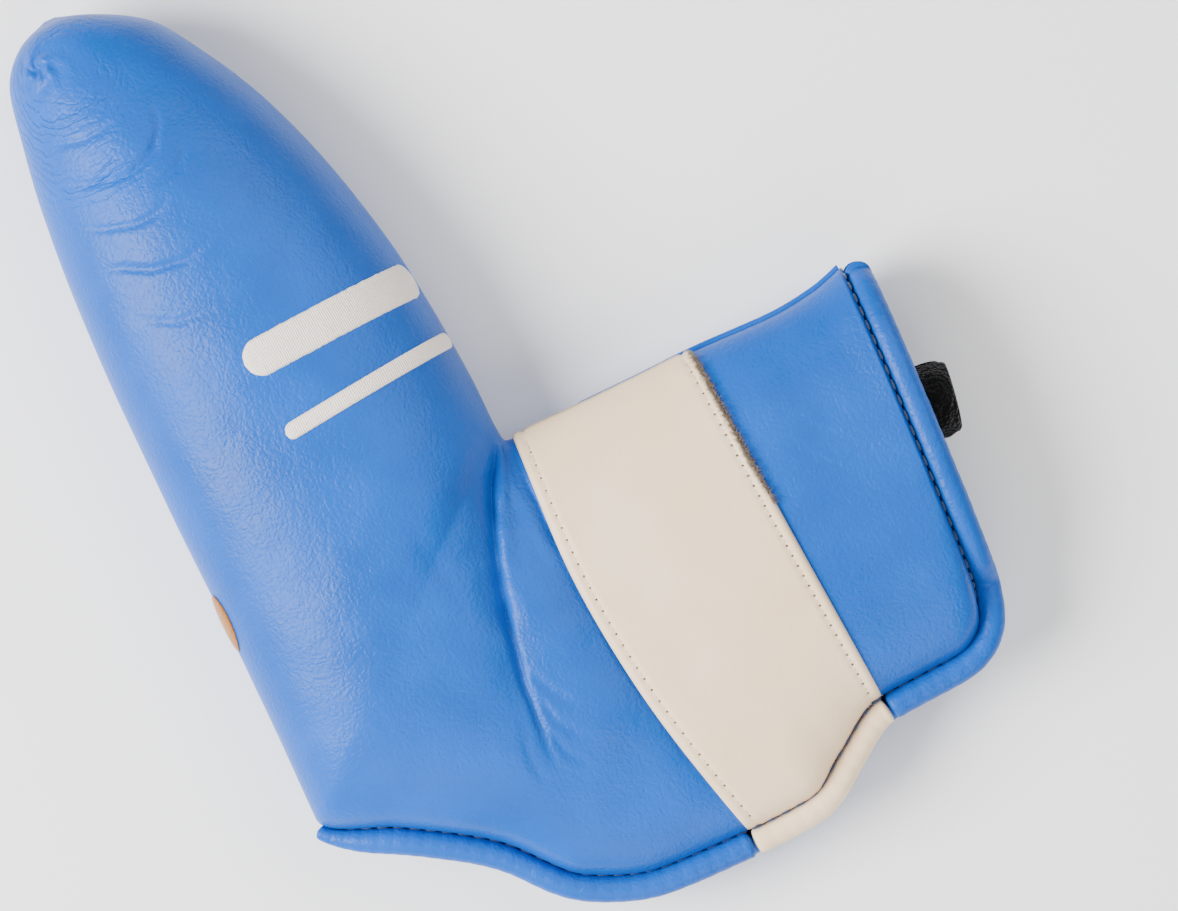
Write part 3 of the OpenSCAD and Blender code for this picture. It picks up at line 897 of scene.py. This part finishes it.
def add_bead(bm, p, turn, size, rings):
    """A ball stretched to these three half widths in mm: a stitch, or the painted shade of a needle hole."""
    where = Matrix.Translation(place(*p)) @ turn @ Matrix.Diagonal([x * MM for x in size] + [1])
    bmesh.ops.create_uvsphere(bm, u_segments=8, v_segments=rings, radius=1, matrix=where)


def stitch_row(name, material, spots, length, width, holes=0.0, fibres=()):
    """Stitches at these (place, direction, up) spots in mm, with dark beads of painted shade for their needle
    holes and loose fibres if asked.
    """
    bm = bmesh.new()
    if holes:
        # A dark flat bead just past each stitch: the painted shade of its needle hole.
        for p, d, up in spots:
            turn = up.to_track_quat("Z", "Y").to_matrix().to_4x4()
            add_bead(bm, p + d * 0.66 * length + up * 0.12, turn, (holes, holes, 0.35 * holes), 6)
        for root, direction, reach in fibres:
            turn = direction.to_track_quat("Z", "Y").to_matrix().to_4x4()
            middle = root + direction * 0.5 * reach
            bmesh.ops.create_cone(
                bm,
                cap_ends=True,
                segments=4,
                radius1=0.07 * MM,
                radius2=0.02 * MM,
                depth=reach * MM,
                matrix=Matrix.Translation(place(*middle)) @ turn,
            )
        for face in bm.faces:
            face.material_index = 1
    for p, d, up in spots:
        side = up.cross(d).normalized()
        turn = Matrix((d, side, d.cross(side))).transposed().to_4x4()
        add_bead(bm, p, turn, (0.5 * length, 0.5 * width, 0.42 * width), 8)
    row = finish_mesh(name, bm, material)
    if holes:
        row.data.materials.append(HOLE_SHADE_AND_FIBRE)
    return row


GROOVE_DROP = {1: 1.0, -1: 0.35}  # how deep the stitches lie in the groove of each half
ON_BAND_DROP = -0.8  # over the band they lie on top of its leather


def hem_stitches(name, seam, start, end):
    """A row of stitches in the groove of a hem."""
    spots = []
    count = int((end - start) / STITCH_PITCH)
    for i in range(count):
        s = start + (i + 0.5) * STITCH_PITCH
        d = seam.along(s)
        up = Vector((0, 0, seam.side))
        wide = seam.spot(s)
        on_band = seam.side > 0 and BAND_START < s < BAND_END
        drop = ON_BAND_DROP if on_band else GROOVE_DROP[seam.side]
        spots.append((wide - up * drop + seam.out(s) * 0.1, d, (up - d * up.dot(d)).normalized()))
    return stitch_row(name, NAVY_THREAD, spots, 0.74 * STITCH_PITCH, 0.72)


front_thread = hem_stitches("front_hem_stitches", FRONT_SEAM, 3, FRONT_SEAM.length - 2)
on_front(front_thread, "navy_thread", "heel_hem_thread", "flap_hem_thread")
rear_thread = hem_stitches("rear_hem_stitches", REAR_SEAM, 3, REAR_SEAM.length - 2)
on_pocket(rear_thread, "navy_thread", "rear_hem_thread")


def frayed_fibres():
    """Loose fibres along the upper half of the band's edge nearer the collar."""
    fibres = []
    for _ in range(420):
        v = 0.02 + 0.42 * random.random() ** 0.9
        p = band_spot(1 - 0.012 * random.random(), v, 0.9 * BAND_T)
        x, y, z = random.uniform(0.1, 1), random.uniform(-0.9, 0.9), random.uniform(0.0, 0.9)
        fibres.append((p, Vector((x, y, z)).normalized(), random.uniform(0.5, 1.5)))
    return fibres


def band_stitches(name, right):
    """The row of stitches along one long edge of the band."""
    spots = []
    count = int((BAND_L - 2) / BAND_STITCH)
    for i in range(1, count):
        v = (i + 0.5) * BAND_STITCH / BAND_L
        width = float(np.interp(v, BAND_ROWS, BAND_WIDTHS))
        u = 1 - EDGE_INSET / width if right else EDGE_INSET / width
        p, q = band_spot(u, v, BAND_T), band_spot(u, v + 0.01, BAND_T)
        d = (q - p).normalized()
        up = Vector((0, 0, 1))
        spots.append((p - up * 0.28, d, (up - d * up.dot(d)).normalized()))
    fibres = frayed_fibres() if right else ()
    return stitch_row(name, ECRU_THREAD, spots, 0.62 * BAND_STITCH, 0.55, 0.27, fibres)


left_thread = band_stitches("band_left_stitches", False)
on_front(left_thread, "ecru_thread", "band_left_thread")
right_thread = band_stitches("band_right_stitches", True)
on_front(right_thread, "ecru_thread", "band_right_thread")
print("stitches in the front hem:", int(FRONT_SEAM.length / STITCH_PITCH))

# %% [markdown]
# ## Embroidery
# Two bars and a badge are worked in satin stitch: threads laid side by side across the shape, so
# that it stands up as a soft ridge with a fine ribbed sheen. The ribs follow the piece's own UV
# map, one rib to each thread of about 0.4 mm, and the colour darkens between threads as painted shade.

# %% Embroidery


def satin_stitch(name, colour, shade, thread_mm=0.42):
    """Threads side by side: one rib to each thread, darker between the ribs as painted shade, a sheen, and a fuzz
    over both.
    """
    material, tree, shader, coords = new_material(
        name, Roughness=0.55, Sheen_Weight=0.6, Sheen_Roughness=0.4
    )
    uv = add_node(tree, "ShaderNodeUVMap", uv_map="UVMap").outputs["UV"]
    scale = per_mm(thread_mm) * math.pi / 10
    wave = {"Vector": uv, "Scale": scale, "Distortion": 1.2, "Detail": 2.0, "Detail Scale": 1.5}
    ribs = add_node(
        tree, "ShaderNodeTexWave", wave, wave_type="BANDS", bands_direction="X"
    ).outputs["Fac"]
    fuzz = noise_node(tree, coords, 0.6, 4.0).outputs["Fac"]
    mixed = arithmetic(tree, "MULTIPLY", ribs, fuzz)
    # Darker in the valleys between the ribs: painted shade between the threads.
    tree.links.new(two_tone(tree, mixed, shade, colour, 0.05, 0.4), shader.inputs["Base Color"])
    ribbed = bump(tree, ribs, 0.18, 0.6)
    tree.links.new(bump(tree, fuzz, 0.3, 0.6, ribbed), shader.inputs["Normal"])
    return material


# Rayon embroidery thread in satin stitch: cream for the bars, gold for the badge.
CREAM_SATIN = satin_stitch("rayon_satin_stitch_cream", "#faf1e8", "#e6d8ca")
GOLD_SATIN = satin_stitch("rayon_satin_stitch_gold", "#c67a00", "#693c00")


def find_on_front(x, y):
    """The loft's t and v for a point of the plan."""
    t, v = 6.0, 0.5
    for _ in range(12):
        p = surface(1, t, v)
        pt, pv = surface(1, t + 0.01, v), surface(1, t, v + 0.01)
        a, b = (pt.x - p.x) / 0.01, (pv.x - p.x) / 0.01
        c, d = (pt.y - p.y) / 0.01, (pv.y - p.y) / 0.01
        det = a * d - b * c
        t += ((x - p.x) * d - (y - p.y) * b) / det
        v += ((y - p.y) * a - (x - p.x) * c) / det
        t, v = min(max(t, 0.2), LAST - 0.2), min(max(v, 0.001), 0.999)
    return t, v


def bar_shape(y, width, height, v_from, v_to):
    """A bar across the pocket from the top-line edge: a rounded ridge with round ends."""
    t, _ = find_on_front(-20, y)
    vs = np.linspace(v_from, v_to, 200)
    spots = np.array([tuple(surface(1, t, v)) for v in vs])
    lengths = np.concatenate([[0], np.cumsum(np.linalg.norm(np.diff(spots, axis=0), axis=1))])
    run = float(lengths[-1])

    def shape(u, v):
        place_v = float(np.interp(u * run, lengths, vs))
        from_end = min(u, 1 - u) * run
        cap = math.sqrt(max(0.0, 1 - max(0.0, 1 - from_end / (0.5 * width)) ** 2))
        ragged = 1 + 0.03 * noise.noise(Vector((u * run / 0.7, y, v * 2)))
        angle = math.pi * (v * 2 - 0.5)
        aside = 0.5 * width * cap * ragged * (math.sin(angle) if v < 0.5 else -math.sin(angle - math.pi))
        rise = height * cap**0.5 * max(0.0, math.cos(angle)) ** 0.6 if v < 0.5 else -0.35
        here = find_t(t, place_v, aside)
        p = front_skin(here, place_v)
        steep = 1 - arch(place_v, FRONT_ARCH)
        return p + Vector((steep * rise, 0, rise * (1 - 0.6 * steep)))

    def find_t(t0, place_v, aside):
        a, b = surface(1, t0 - 0.1, place_v), surface(1, t0 + 0.1, place_v)
        return t0 - aside * 0.2 / (a - b).length

    return shape


POCKET_W = 73  # the pocket's width on the plan


def embroidered_bar(name, y, width, length):
    """A bar of this length and width in mm, across the pocket at y."""
    shape = bar_shape(y, width, 0.95, 0.006, 0.015 + length / POCKET_W)
    return wrap(name, CREAM_SATIN, (int(120 * DETAIL), 24), (length, 2 * width), shape, closed=True)


wide_bar = embroidered_bar("wide_embroidered_bar", 37.5, 8.6, 41)
on_pocket(wide_bar, "cream_thread", "wide_bar")
narrow_bar = embroidered_bar("narrow_embroidered_bar", 21, 3.9, 40)
on_pocket(narrow_bar, "cream_thread", "narrow_bar")


# The badge: its ruling, half its length and half its height in mm, and how far it is up from the edge.
BADGE_T, BADGE_HALF, BADGE_RISE, BADGE_UP = 8.03, 6.8, 4.0, 5.2
SIDE_V = np.linspace(1, 0.8, 120)
SIDE = np.array([tuple(surface(1, BADGE_T, v)) for v in SIDE_V])
SIDE_RUN = np.concatenate([[0], np.cumsum(np.linalg.norm(np.diff(SIDE, axis=0), axis=1))])
BADGE_STEP = (surface(1, BADGE_T + 0.1, 0.98) - surface(1, BADGE_T - 0.1, 0.98)).length / 0.2


def badge_shape(u, v):
    """A plain oval that wraps round the sole edge, measured along the leather."""
    x, y = 2 * u - 1, 2 * v - 1
    across = x * math.sqrt(1 - 0.5 * y * y)
    up = y * math.sqrt(1 - 0.5 * x * x)
    place_v = float(np.interp(BADGE_UP + BADGE_RISE * up, SIDE_RUN, SIDE_V))
    p = front_skin(BADGE_T - BADGE_HALF * across / BADGE_STEP, place_v)
    swell = 1 - across**2 - up**2
    return p + Vector((-0.8, 0, 0.6)) * (0.9 * max(0.0, swell) ** 0.5 + 0.12)


badge = wrap("sole_edge_badge", GOLD_SATIN, (36, 24), (14, 9), badge_shape, facing=(-1, 0, 0.5))
thicken(badge, 0.6)
on_pocket(badge, "gold_thread", "sole_badge")

print("badge", round(2 * BADGE_HALF, 1), "mm long")

# %% [markdown]
# ## Foam and plush
# Inside the leather lies a thin layer of foam and then a black plush lining. Both are closed layers
# between two depths of the same surface, shaped in code, so they follow the leather.

# %% Foam and plush


def plush(name, colour, tip, pile_mm=0.8):
    """A matt pile: tufts or pores this many millimetres across, with painted shade darkening the gaps between
    them.
    """
    material, tree, shader, coords = new_material(
        name, Roughness=0.95, Sheen_Weight=0.12, Sheen_Roughness=0.5, Specular_IOR_Level=0.15
    )
    tufts = cells(tree, coords, pile_mm)
    # Lighter at each tuft's centre and darker at its edge: painted shade between the tufts.
    tree.links.new(two_tone(tree, tufts, tip, colour, 0.0, 0.7), shader.inputs["Base Color"])
    tree.links.new(bump(tree, tufts, -0.9, 0.9), shader.inputs["Normal"])
    return material


# Black polyester plush for the lining and sleeve, and grey polyurethane foam for the padding.
PLUSH = plush("polyester_plush_black", "#020202", "#0c0d0c")
FOAM = plush("polyurethane_foam_grey", "#3d3f42", "#55585c", 0.5)


def slab(name, material, side, outer, inner):
    """A closed layer between two depths under the leather."""

    def shape(u, v):
        t = even(u)
        across = spread(2 * v) if v <= 0.5 else spread(2 - 2 * v)
        p = surface(side, t, across, outer if v <= 0.5 else inner)
        if side > 0:
            p.z = min(p.z, front_skin(t, across).z - (outer if v <= 0.5 else inner))
            p.z = max(p.z, GAP)
        return p

    return wrap(name, material, (int(110 * DETAIL), 60), (COVER_L, 2 * SKIN_W), shape, closed=True)


front_pad = slab("front_foam_padding", FOAM, 1, 1.5, 3.0)
on_front(front_pad, "grey_foam", "pocket_foam", "flap_foam")
rear_pad = slab("rear_foam_padding", FOAM, -1, 1.5, 3.0)
on_pocket(rear_pad, "grey_foam", "rear_foam")
front_lining = slab("front_plush_lining", PLUSH, 1, 3.3, 6.0)
on_front(front_lining, "black_fleece", "pocket_lining", "flap_lining")
rear_lining = slab("rear_plush_lining", PLUSH, -1, 3.3, 6.0)
on_pocket(rear_lining, "black_fleece", "rear_lining")

print("each layer has", len(front_pad.data.polygons), "faces")

# %% [markdown]
# ## The shaft's sleeve
# Round the shaft the plush is doubled into a soft sleeve that stands out of the collar's mouth. It
# is made as two half tubes, one in each half of the cover, placed by the shaft's own mount.

# %% The sleeve
shaft = next(m for m in frame["record"]["mounts"] if m["name"] == "shaft_channel")
SHAFT_AXIS = Vector(shaft["axis"]).normalized()
SHAFT_R = shaft["dims"]["r_mm"]
SLEEVE_L = shaft["dims"]["length_mm"]
SLEEVE_MID = (Vector(shaft["pos_m"]) - CORNER) / MM
SLEEVE_SIDE = Vector((0, 0, 1)).cross(SHAFT_AXIS).normalized()
SLEEVE_WALL = 3.7


def sleeve_shape(side):
    """Half a tube of plush round the shaft, rounded and lumpy outside."""

    def shape(u, v):
        around = math.pi * (0.03 + 0.94 * u)
        ring = v * 2 * math.pi
        half = 0.5 * SLEEVE_L
        lump = 0.6 * noise.noise(Vector((around * 4, math.cos(ring) * 5, side * 5)))
        end = math.sin(ring)
        radius = SHAFT_R + 0.15 + 0.5 * SLEEVE_WALL * (1 - math.cos(ring))
        radius += lump * (0.5 - 0.5 * math.cos(ring))
        position = half * math.copysign(abs(end) ** 0.5, end)
        bulge = 0.7 * ease((position - half + 7) / 5) * (0.5 - 0.5 * math.cos(ring))
        out = SLEEVE_SIDE * math.cos(around) + Vector((0, 0, side)) * math.sin(around)
        return SLEEVE_MID + SHAFT_AXIS * position + out * (radius + bulge)

    return shape


def sleeve(name, side):
    """One half of the sleeve, with its ends closed."""
    piece = wrap(name, PLUSH, (28, 96), (26, 100), sleeve_shape(side), closed=True)
    bm = bmesh.new()
    bm.from_mesh(piece.data)
    edges = [e for e in bm.edges if e.is_boundary]
    if edges:
        bmesh.ops.holes_fill(bm, edges=edges)
    bmesh.ops.recalc_face_normals(bm, faces=bm.faces)
    bm.to_mesh(piece.data)
    bm.free()
    return piece


rear_sleeve = sleeve("rear_plush_sleeve", -1)
on_pocket(rear_sleeve, "black_fleece", "rear_shaft_sleeve")
front_sleeve = sleeve("front_plush_sleeve", 1)
on_front(front_sleeve, "black_fleece", "front_shaft_sleeve")

print("sleeve", round(SLEEVE_L), "mm long, round a shaft of radius", SHAFT_R, "mm")

# %% [markdown]
# ## The spine welt
# The rear leather's edge is folded along the spine and stands a little proud of the front, so a thin
# blue line shows above the band and the collar.

# %% The spine welt


def welt_shape(u, v):
    """A slim roll along the spine, tapered at its ends."""
    t = BAND_FROM + 0.9 + (LAST - 0.05 - BAND_FROM - 0.9) * u
    p = surface(-1, t, 0.0)
    from_end = min(u, 1 - u) * SPINE_L
    cap = math.sqrt(max(0.0, 1 - max(0.0, 1 - from_end / 1.5) ** 2))
    angle = 2 * math.pi * v
    return p + Vector((0, 0.35 + 0.85 * math.cos(angle) * cap, -0.85 + 0.75 * math.sin(angle) * cap))


welt = wrap("spine_welt_fold", BLUE, (80, 14), (SPINE_L, 6), welt_shape, closed=True)
on_pocket(welt, "blue_leather", "spine_welt")

# %% [markdown]
# ## The spine's inner fold
# Where the front and the rear meet along the spine, the leather runs on inside from one to the
# other. It is a narrow strip across the parting plane, just inside the spine, that closes the gap
# between the two halves.

# %% The spine's inner fold
FOLD_INSET, FOLD_THICK, FOLD_HALF = 2.1, 1.0, 2.6


def spine_fold_shape(u, v):
    """A flat strip across the parting plane, just inside the spine."""
    t = BAND_FROM + 0.1 + (LAST - 0.25 - BAND_FROM) * u
    p = surface(-1, t, 0.0)
    angle = 2 * math.pi * v
    side = math.copysign(abs(math.cos(angle)) ** 0.4, math.cos(angle))
    up = math.copysign(abs(math.sin(angle)) ** 0.8, math.sin(angle))
    return Vector((p.x, p.y - FOLD_INSET + 0.5 * FOLD_THICK * side, FOLD_HALF * up))


spine_fold = wrap("spine_inner_fold", BLUE, (60, 16), (SPINE_L, 12), spine_fold_shape, closed=True)
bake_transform(spine_fold)

print("spine pieces", round(SPINE_L), "mm long")

# %% [markdown]
# ## The hook-and-loop patches
# They lie face to face inside the lower seam and show only when the flap is open. Their CAD solids
# are right as they are, so they only get their finish: nylon hooks on one, brushed loops on the other.

# %% The patches
# Woven nylon tape: stiff hooks on one strip, brushed loops on the other.
HOOK = plush("nylon_hook_tape", "#08090a", "#2a2b2d", 1.1)
LOOP = plush("nylon_loop_tape", "#0c0d0f", "#26282b", 0.7)
for node, material, slot in (("hook_patch", HOOK, "black_hook"), ("loop_patch", LOOP, "black_loop")):
    patch = frame["nodes"][node]
    patch.data.materials.clear()
    patch.data.materials.append(material)
    print(node, "is", material.name)
